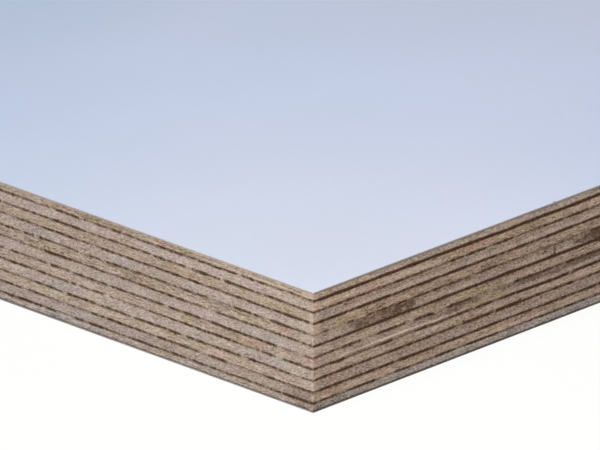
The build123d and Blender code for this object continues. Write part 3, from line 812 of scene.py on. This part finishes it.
class Graph:
    """Short names for the node kinds that the materials use."""

    def __init__(self, nt):
        self.nt = nt
        self.coord = nt.nodes.new("ShaderNodeTexCoord").outputs["Object"]

    def link(self, a, b):
        if isinstance(a, (int, float)):
            b.default_value = a
        elif isinstance(a, (tuple, list)):
            b.default_value = (*a, 1.0) if len(b.default_value) == 4 else a
        else:
            self.nt.links.new(a, b)

    def place(self, scale, shift=(0, 0, 0)):
        n = self.nt.nodes.new("ShaderNodeMapping")
        n.inputs["Scale"].default_value = scale
        n.inputs["Location"].default_value = shift
        self.nt.links.new(self.coord, n.inputs["Vector"])
        return n.outputs["Vector"]

    def noise(self, vector, detail=2.0, rough=0.55, distortion=0.0, scale=1.0):
        n = self.nt.nodes.new("ShaderNodeTexNoise")
        n.inputs["Scale"].default_value = scale
        n.inputs["Detail"].default_value = detail
        n.inputs["Roughness"].default_value = rough
        n.inputs["Distortion"].default_value = distortion
        self.nt.links.new(vector, n.inputs["Vector"])
        return n.outputs["Fac"]

    def math(self, op, a, b=0.0, clamp=False):
        n = self.nt.nodes.new("ShaderNodeMath")
        n.operation = op
        n.use_clamp = clamp
        self.link(a, n.inputs[0])
        self.link(b, n.inputs[1])
        return n.outputs[0]

    def span(self, x, a, b, c=0.0, d=1.0):
        n = self.nt.nodes.new("ShaderNodeMapRange")
        n.clamp = True
        self.link(x, n.inputs["Value"])
        for key, v in (("From Min", a), ("From Max", b), ("To Min", c), ("To Max", d)):
            n.inputs[key].default_value = v
        return n.outputs["Result"]

    def mix(self, fac, a, b, kind="MIX"):
        n = self.nt.nodes.new("ShaderNodeMix")
        n.data_type = "RGBA"
        n.blend_type = kind
        n.clamp_factor = True
        self.link(fac, n.inputs[0])
        self.link(a, n.inputs[6])
        self.link(b, n.inputs[7])
        return n.outputs[2]

    def attribute(self, name):
        n = self.nt.nodes.new("ShaderNodeAttribute")
        n.attribute_type = "GEOMETRY"
        n.attribute_name = name
        return n.outputs["Fac"]

    def scaled(self, colour, by):
        """A colour times a number that varies over the surface."""
        n = self.nt.nodes.new("ShaderNodeVectorMath")
        n.operation = "SCALE"
        self.link(colour, n.inputs[0])
        self.link(by, n.inputs[3])
        return n.outputs[0]

    def plus(self, a, b):
        """Two colours added, channel by channel."""
        n = self.nt.nodes.new("ShaderNodeVectorMath")
        n.operation = "ADD"
        self.link(a, n.inputs[0])
        self.link(b, n.inputs[1])
        return n.outputs[0]

    def times(self, a, b):
        """Two colours multiplied, channel by channel."""
        n = self.nt.nodes.new("ShaderNodeVectorMath")
        n.operation = "MULTIPLY"
        self.link(a, n.inputs[0])
        self.link(b, n.inputs[1])
        return n.outputs[0]

    def slant(self):
        """The coordinates with the height measured from a slanting line."""
        if not hasattr(self, "_slant"):
            cut = self.nt.nodes.new("ShaderNodeSeparateXYZ")
            put = self.nt.nodes.new("ShaderNodeCombineXYZ")
            self.nt.links.new(self.coord, cut.inputs[0])
            x, y, z = cut.outputs
            lift = self.math("MULTIPLY", self.math("SUBTRACT", x, y), 0.277)
            self.nt.links.new(x, put.inputs[0])
            self.nt.links.new(y, put.inputs[1])
            self.nt.links.new(self.math("SUBTRACT", z, lift), put.inputs[2])
            self._slant = put.outputs[0]
        return self._slant

    def patch(self, at, inner, outer):
        """1 round a place on the sheet, falling softly to 0."""
        n = self.nt.nodes.new("ShaderNodeVectorMath")
        n.operation = "DISTANCE"
        self.link(self.coord, n.inputs[0])
        n.inputs[1].default_value = (*at, Z_TOP["face_film"])
        m = self.nt.nodes.new("ShaderNodeMapRange")
        m.interpolation_type = "SMOOTHSTEP"
        self.link(n.outputs["Value"], m.inputs["Value"])
        for key, v in (("From Min", inner), ("From Max", outer), ("To Min", 1.0), ("To Max", 0.0)):
            m.inputs[key].default_value = v
        return m.outputs["Result"]

    def bump(self, height, strength, distance, normal=None):
        n = self.nt.nodes.new("ShaderNodeBump")
        n.inputs["Strength"].default_value = strength
        n.inputs["Distance"].default_value = distance
        self.link(height, n.inputs["Height"])
        if normal is not None:
            self.link(normal, n.inputs["Normal"])
        return n.outputs["Normal"]


# linear colours
SIDE_GRAIN = (0.342, 0.269, 0.210)
END_GRAIN = (0.348, 0.279, 0.234)
OLIVE = (0.326, 0.270, 0.172)
RED = (0.356, 0.244, 0.188)
PALE = (0.520, 0.424, 0.340)
# pale torn fibre with a painted highlight
LIGHT = (0.740, 0.610, 0.500)
GREY = (0.300, 0.278, 0.254)
DARK = (0.062, 0.038, 0.024)
KNOT = (0.106, 0.069, 0.046)
GLUE = (0.052, 0.027, 0.012)
# one step of lightness: paler wood is greyer, darker wood is browner
SHADE = (0.310, 0.272, 0.236)
# how light each veneer is on the long edges and on the short ones
TONE = [(0.99, 1.10), (1.06, 1.06), (0.98, 1.04), (1.03, 0.99), (0.93, 0.98),
        (1.03, 0.97), (0.98, 1.00), (1.05, 1.02), (1.01, 0.97), (0.94, 1.06),
        (0.96, 1.00)]


def veneer_material(ply):
    m, nt, p = new_material(f"veneer_{ply:02d}")
    g = Graph(nt)
    long_grain = ply % 2 == 1
    shift = (ply * 3.7, ply * 5.3, ply * 2.9)

    def stretched(along, across, thick, more=0.0):
        sx, sy = (1 / along, 1 / across) if long_grain else (1 / across, 1 / along)
        return g.place((sx / MM, sy / MM, 1 / thick / MM), tuple(v + more for v in shift))

    def slanted(along, thick, more=0.0):
        """Across the saw's slant, which climbs towards the corners."""
        n = nt.nodes.new("ShaderNodeMapping")
        n.inputs["Scale"].default_value = (1 / along / MM, 1 / along / MM, 1 / thick / MM)
        n.inputs["Location"].default_value = tuple(v + more for v in shift)
        nt.links.new(g.slant(), n.inputs["Vector"])
        return n.outputs["Vector"]

    end = g.attribute("end_grain")
    # fibre along the veneer: streaks on side grain, points on end grain
    bands = g.noise(stretched(7.0, 2.5, 0.9), detail=2.0)
    streaks = g.noise(stretched(1.3, 0.30, 0.17), detail=1.5, rough=0.6)
    fibres = g.noise(stretched(0.48, 0.17, 0.12, 9.1), detail=1.0, rough=0.6)
    specks = g.noise(slanted(0.32, 0.14), detail=1.0, rough=0.6)
    grit = g.noise(slanted(0.58, 0.21, 4.7), detail=1.0, rough=0.5)
    drift = g.noise(g.place((1 / (3.4 * MM), 1 / (3.4 * MM), 1 / (1.1 * MM)), shift), detail=1.0)

    def swing(x, much_side, much_end):
        """A noise as a change of lightness, its own amount on each grain."""
        amount = g.span(end, 0.0, 1.0, much_side * 2, much_end * 2)
        return g.math("MULTIPLY", g.math("SUBTRACT", x, 0.5), amount)

    light = g.math("ADD", swing(streaks, 0.60, 0.20), swing(fibres, 0.64, 0.30))
    light = g.math("ADD", light, swing(specks, 0.62, 0.78))
    light = g.math("ADD", light, swing(grit, 0.26, 0.42))
    light = g.math("ADD", light, swing(bands, 0.30, 0.16))
    light = g.math("ADD", light, swing(drift, 0.20, 0.26))
    # the short sides are more coarsely sawn, and their lightness swings are made stronger as painted shade of that
    # rough relief under light that grazes them
    light = g.math("MULTIPLY", light, g.span(g.attribute("short_side"), 0.0, 1.0, 0.96, 1.34))
    tone = g.span(end, 0.0, 1.0, *(TONE[ply - 1] if long_grain else TONE[ply - 1][::-1]))

    # slow changes of tint
    warm = g.noise(g.place((1 / (2.6 * MM), 1 / (2.6 * MM), 1 / (1.1 * MM)), (ply * 2.1, 3.0, 8.8)), detail=1.0)
    blue = g.noise(g.place((1 / (2.9 * MM), 1 / (2.9 * MM), 1 / (1.2 * MM)), (5.5, ply * 1.9, 2.2)), detail=1.0)
    tint = nt.nodes.new("ShaderNodeCombineXYZ")
    tint.inputs[0].default_value = 1.0
    g.link(g.span(warm, 0.2, 0.8, 0.945, 1.055), tint.inputs[1])
    g.link(g.span(blue, 0.2, 0.8, 0.915, 1.085), tint.inputs[2])

    colour = g.mix(end, SIDE_GRAIN, END_GRAIN)
    # painted light: the bottom veneer is made greyer, as by the floor's bounce
    if ply == 11:
        colour = g.mix(g.span(end, 0.0, 1.0, 0.25, 0.75), colour, GREY)
    colour = g.mix(g.attribute("mark_olive"), colour, OLIVE)
    colour = g.mix(g.attribute("mark_red"), colour, RED)
    colour = g.mix(g.attribute("mark_grey"), colour, GREY)
    colour = g.times(colour, tint.outputs[0])
    # lighter streaks are partly lighter fibre and partly a painted sheen of the fibres, which makes them greyer and
    # bluer than the wood round them; darker ones browner
    colour = g.mix(g.attribute("mark_bright"), colour, g.times(colour, (1.23, 1.31, 1.42)))
    colour = g.mix(g.attribute("mark_dim"), colour, g.times(colour, (0.70, 0.68, 0.65)))
    colour = g.plus(g.scaled(colour, tone), g.scaled(SHADE, light))

    # pores: dots on end grain, short dark lines on side grain
    pores = g.noise(stretched(0.7, 0.13, 0.13, 3.3), detail=1.0, rough=0.5)
    colour = g.mix(g.span(pores, 0.66, 0.76, 0.0, 0.5), colour, DARK)
    # pale torn fibre ends
    flecks = g.noise(slanted(0.34, 0.17, 7.9), detail=1.0, rough=0.6)
    colour = g.mix(g.span(flecks, 0.64, 0.78, 0.0, 0.5), colour, PALE)

    colour = g.mix(g.math("MULTIPLY", g.attribute("mark_pale"), g.span(streaks, 0.3, 0.6, 0.4, 1.0)), colour, PALE)
    # the torn fibre: pale wood with a painted highlight
    colour = g.mix(g.math("MULTIPLY", g.attribute("mark_light"), g.span(grit, 0.3, 0.6, 0.80, 1.0)), colour, LIGHT)
    darkish = g.math("MULTIPLY", g.attribute("mark_dark"), g.span(grit, 0.34, 0.62, 1.25, 0.75), clamp=True)
    colour = g.mix(darkish, colour, KNOT)

    # the glue, with a ragged edge
    ragged = g.noise(g.place((1 / (0.24 * MM),) * 3, (1.7, ply * 2.3, 0.4)), detail=1.0, rough=0.6)
    glue = g.math("ADD", g.attribute("glue"), g.span(ragged, 0.25, 0.75, 0.16, -0.16))
    glue = g.span(glue, 0.02, 1.0)
    # clean glue is dark, and crushed fibre in it lighter
    fluff = g.noise(g.place((1 / (0.42 * MM), 1 / (0.42 * MM), 1 / (0.26 * MM)), (6.1, 0.9, ply * 1.3)), detail=1.0, rough=0.6)
    colour = g.mix(glue, colour, g.scaled(GLUE, g.span(fluff, 0.30, 0.72, 0.45, 2.1)))
    g.link(colour, p.inputs["Base Color"])

    rough = g.span(g.math("ADD", g.math("MULTIPLY", glue, -0.9), g.span(specks, 0.3, 0.7, -0.1, 0.1)),
                   -1.0, 0.2, 0.48, 0.88)
    g.link(rough, p.inputs["Roughness"])
    p.inputs["Specular IOR Level"].default_value = 0.10
    height = g.math("ADD", g.math("MULTIPLY", fibres, 0.6), g.math("MULTIPLY", specks, 0.8))
    height = g.math("SUBTRACT", height, g.span(pores, 0.62, 0.76, 0.0, 0.8))
    g.link(g.bump(height, 0.9, 0.09 * MM), p.inputs["Normal"])
    return m


def film_material():
    m, nt, p = new_material("finish_film")
    g = Graph(nt)
    cloud = g.noise(g.place((1 / (38 * MM),) * 3), detail=2.0, rough=0.5)
    cloud2 = g.noise(g.place((1 / (95 * MM), 1 / (60 * MM), 1 / (60 * MM)), (3.1, 1.7, 0)), detail=2.0)
    broad = g.noise(g.place((1 / (620 * MM), 1 / (430 * MM), 1.0), (0.7, 5.1, 0)), detail=3.0)
    fine = g.noise(g.place((1 / (0.9 * MM),) * 3), detail=2.0)
    colour = g.mix(g.span(cloud, 0.35, 0.65), FILM_A, FILM_B)
    colour = g.mix(g.span(cloud2, 0.38, 0.62, 0.0, 0.6), colour, FILM_C)
    light = g.math("ADD", g.span(fine, 0.3, 0.7, 0.992, 1.008), g.span(broad, 0.3, 0.7, -0.02, 0.02))
    colour = g.scaled(colour, light)
    # painted light: a lighter, bluer ring round the corner but not at it. A second ring is only bluer, and three
    # spots to the sides are duller
    ring = g.math("SUBTRACT", g.patch((X1, Y0), 0.058, 0.112), g.patch((X1, Y0), 0.004, 0.032))
    colour = g.mix(ring, colour, g.times(colour, (1.040, 1.058, 1.058)))
    ring = g.math("SUBTRACT", g.patch((X1, Y0), 0.060, 0.130), g.patch((X1, Y0), 0.020, 0.078))
    colour = g.mix(ring, colour, g.times(colour, (1.0, 1.0, 1.045)))
    colour = g.mix(g.patch((X1 - 0.076, Y0 + 0.010), 0.005, 0.045), colour, g.times(colour, (0.940, 0.970, 0.985)))
    colour = g.mix(g.patch((X1 + 0.005, Y0 + 0.067), 0.005, 0.040), colour, g.times(colour, (0.955, 0.965, 0.980)))
    colour = g.mix(g.patch((X1 - 0.095, Y0 + 0.045), 0.001, 0.026), colour, g.times(colour, (0.885, 0.962, 0.985)))
    g.link(colour, p.inputs["Base Color"])
    scuff = g.noise(g.place((1 / (14 * MM), 1 / (60 * MM), 1.0), (9.0, 2.0, 0)), detail=4.0, rough=0.6)
    rough = g.math("ADD", g.span(cloud, 0.3, 0.7, 0.36, 0.42), g.span(scuff, 0.45, 0.75, 0.0, 0.06))
    g.link(rough, p.inputs["Roughness"])
    p.inputs["Specular IOR Level"].default_value = 0.45
    peel = g.noise(g.place((1 / (2.4 * MM),) * 3), detail=2.0, rough=0.5)
    g.link(g.bump(peel, 0.05, 0.02 * MM), p.inputs["Normal"])
    return m


def film_edge_material(name, dark, light, line, rubbed=None):
    """The cut edge of a film: resin-soaked paper."""
    m, nt, p = new_material(name)
    g = Graph(nt)
    fine = g.noise(g.place((1 / (0.5 * MM), 1 / (0.5 * MM), 1 / (0.09 * MM))), detail=3.0, rough=0.6)
    spots = g.noise(g.place((1 / (0.16 * MM),) * 3, (4, 2, 1)), detail=2.0, rough=0.6)
    colour = g.mix(g.span(fine, 0.3, 0.7), dark, light)
    if rubbed:
        colour = g.mix(g.math("MULTIPLY", g.attribute("rub"), g.span(fine, 0.2, 0.8, 0.6, 1.0)), colour, rubbed)
    colour = g.mix(g.attribute("resin"), colour, line)
    colour = g.scaled(colour, g.span(spots, 0.25, 0.75, 0.82, 1.18))
    g.link(colour, p.inputs["Base Color"])
    g.link(g.span(fine, 0.3, 0.7, 0.5, 0.7), p.inputs["Roughness"])
    g.link(g.bump(spots, 0.4, 0.03 * MM), p.inputs["Normal"])
    return m


def back_material():
    m, nt, p = new_material("back_film")
    g = Graph(nt)
    cloud = g.noise(g.place((1 / (60 * MM), 1 / (35 * MM), 1.0)), detail=4.0, rough=0.6)
    fine = g.noise(g.place((1 / (1.2 * MM),) * 3), detail=2.0)
    colour = g.mix(g.span(cloud, 0.3, 0.7), (0.040, 0.037, 0.035), (0.062, 0.057, 0.052))
    colour = g.scaled(colour, g.span(fine, 0.3, 0.7, 0.93, 1.07))
    g.link(colour, p.inputs["Base Color"])
    g.link(g.span(cloud, 0.3, 0.7, 0.34, 0.46), p.inputs["Roughness"])
    g.link(g.bump(fine, 0.08, 0.03 * MM), p.inputs["Normal"])
    return m


FILM_A = (0.452, 0.514, 0.612)
FILM_B = (0.466, 0.512, 0.612)
FILM_C = (0.440, 0.519, 0.622)


# ------------------------------------------------------------- build them all
made = {}
for ply in range(1, 12):
    name = LAYERS[ply]
    fine_rows, far_rows = veneer_rows(ply, name)
    mat = veneer_material(ply)
    ob = build_layer(name, fine_rows, far_rows, ATTR, [mat], 0)
    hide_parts(name)
    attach(ob, "root")
    made[name] = ob


def film_rows(name, finish):
    zb, zt = Z_BOT[name], Z_TOP[name]
    s = S / MM
    one = np.ones(NC)
    rub = np.clip(0.85 * LONG + 0.25 * noise1(s / 3.0, 1210), 0, 1)
    far = step(16, 34, DIST / MM) * ON0
    rub = rub * (1 - 0.45 * far) if finish else rub
    # a splinter of film on the short side
    burr = ON1 * np.exp(-((DIST / MM - 40.8) / 0.13) ** 2) * 0.24 * MM
    wob = 0.010 * noise1(s / 0.6, 1200) + 0.008 * noise1(s / 2.5, 1201)
    base = (0.018 + 0.8 * wob) * MM
    r = 0.035 * MM
    if finish:
        prof = [(0.02, 0.0, 1.0), (0.008, 0.25, .8), (0.0, 0.45, .15), (0.0, 0.80, 0.0)]
        rows = [((base + a * MM), zb + (zt - zb) * f * one, {"resin": q * (1 - rub), "rub": rub}) for a, f, q in prof]
        rows.append((base + 0.3 * r, (zt - 0.28 * r) + burr, {"resin": 0 * one, "rub": rub}))
        rows.append((base + r, zt * one, {"resin": 0 * one, "rub": rub}))
    else:
        rows = [(base + r, zb * one, {"resin": 0 * one, "rub": rub}),
                (base + 0.3 * r, (zb + 0.28 * r) * one, {"resin": 0 * one, "rub": rub})]
        prof = [(0.0, 0.25, 0.0), (0.0, 0.5, 0.2), (0.008, 0.8, 0.8), (0.02, 1.0, 1.0)]
        rows += [((base + a * MM), zb + (zt - zb) * f * one, {"resin": q * one, "rub": rub}) for a, f, q in prof]
    return rows


face_top, back_bottom = film_material(), back_material()
face_edge = film_edge_material("finish_film_edge", (0.27, 0.247, 0.236), (0.345, 0.320, 0.308), (0.185, 0.152, 0.130), rubbed=(0.400, 0.340, 0.292))
back_edge = film_edge_material("back_film_edge", (0.075, 0.070, 0.066), (0.120, 0.113, 0.105), (0.06, 0.045, 0.035), rubbed=(0.350, 0.325, 0.292))
for name, finish in (("face_film", True), ("back_film", False)):
    rows = film_rows(name, finish)
    if finish:
        ob = build_layer(name, rows, rows, ("resin", "rub"), [face_top, face_edge], 1, film=True)
    else:
        ob = build_layer(name, rows, rows, ("resin", "rub"), [back_bottom, back_edge], 1, film=True)
    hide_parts(name)
    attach(ob, "root")
    made[name] = ob

# -------------------------------------------------------------------- floor
fm, nt, p = new_material("floor")
p.inputs["Base Color"].default_value = (0.05, 0.05, 0.05, 1)
p.inputs["Roughness"].default_value = 0.9
p.inputs["Specular IOR Level"].default_value = 0.0
p.inputs["Emission Color"].default_value = (1.0, 0.998, 0.990, 1)
p.inputs["Emission Strength"].default_value = 0.925
me = bpy.data.meshes.new("floor")
R = 120.0
me.from_pydata([(-R, -R, 0), (R, -R, 0), (R, R, 0), (-R, R, 0)], [], [(0, 1, 2, 3)])
me.materials.append(fm)
floor = bpy.data.objects.new("floor", me)
floor.location.z = -0.00004
bpy.context.scene.collection.objects.link(floor)

# -------------------------------------------------------------------- light
world = bpy.data.worlds.new("studio")
bpy.context.scene.world = world
world.use_nodes = True
bg = world.node_tree.nodes["Background"]
bg.inputs["Color"].default_value = (1.0, 0.50, 0.24, 1)
bg.inputs["Strength"].default_value = 0.25


def sun(name, towards, strength, angle, colour=(1, 1, 1)):
    d = bpy.data.lights.new(name, "SUN")
    d.energy = strength
    d.angle = math.radians(angle)
    d.color = colour
    ob = bpy.data.objects.new(name, d)
    ob.rotation_mode = "QUATERNION"
    ob.rotation_quaternion = Vector(towards).to_track_quat("Z", "Y")
    bpy.context.scene.collection.objects.link(ob)
    return ob


# towards is the way from the sheet to the light
sun("key", (0.02, -0.490, 0.872), 3.25, 28, (0.947, 1.095, 1.24))

glow = bpy.data.lights.new("corner_soft", "POINT")
glow.shadow_soft_size = 0.02
glow.energy = 0.27
glow.color = (1.0, 0.82, 0.67)
gob = bpy.data.objects.new("corner_soft", glow)
gob.location = (X1 + 0.0345, Y0 - 0.036, 0.015 + 0.08)
gob.visible_camera = False
gob.visible_glossy = False
bpy.context.scene.collection.objects.link(gob)

# ------------------------------------------------------------------- camera
AZ, EL, ROLL, DIST_C, F_PX = 43.80, 21.197, 0.26, 1.738, 15025.0
CORNER_PX = (313.55, 293.0)
a, e, r = math.radians(AZ), math.radians(EL), math.radians(ROLL)
back = Vector((math.sin(a) * math.cos(e), -math.cos(a) * math.cos(e), math.sin(e)))
look = -back
right = look.cross(Vector((0, 0, 1))).normalized()
up = right.cross(look)
right, up = right * math.cos(r) + up * math.sin(r), up * math.cos(r) - right * math.sin(r)
corner = Vector((X1, Y0, Z_TOP["face_film"]))
place = corner - look * DIST_C
place -= right * (CORNER_PX[0] - 300) * DIST_C / F_PX
place += up * (CORNER_PX[1] - 225) * DIST_C / F_PX
cam = bpy.data.cameras.new("camera")
cam.sensor_fit = "HORIZONTAL"
cam.sensor_width = 36.0
cam.lens = F_PX * 36.0 / 600.0
cam.clip_start, cam.clip_end = 0.1, 1000.0
cob = bpy.data.objects.new("camera", cam)
rot = Matrix((right, up, back)).transposed()
cob.matrix_world = Matrix.Translation(place) @ rot.to_4x4()
bpy.context.scene.collection.objects.link(cob)
bpy.context.scene.camera = cob
bpy.context.scene.view_settings.view_transform = "Standard"
bpy.context.scene.view_settings.look = "None"

bpy.context.view_layer.update()
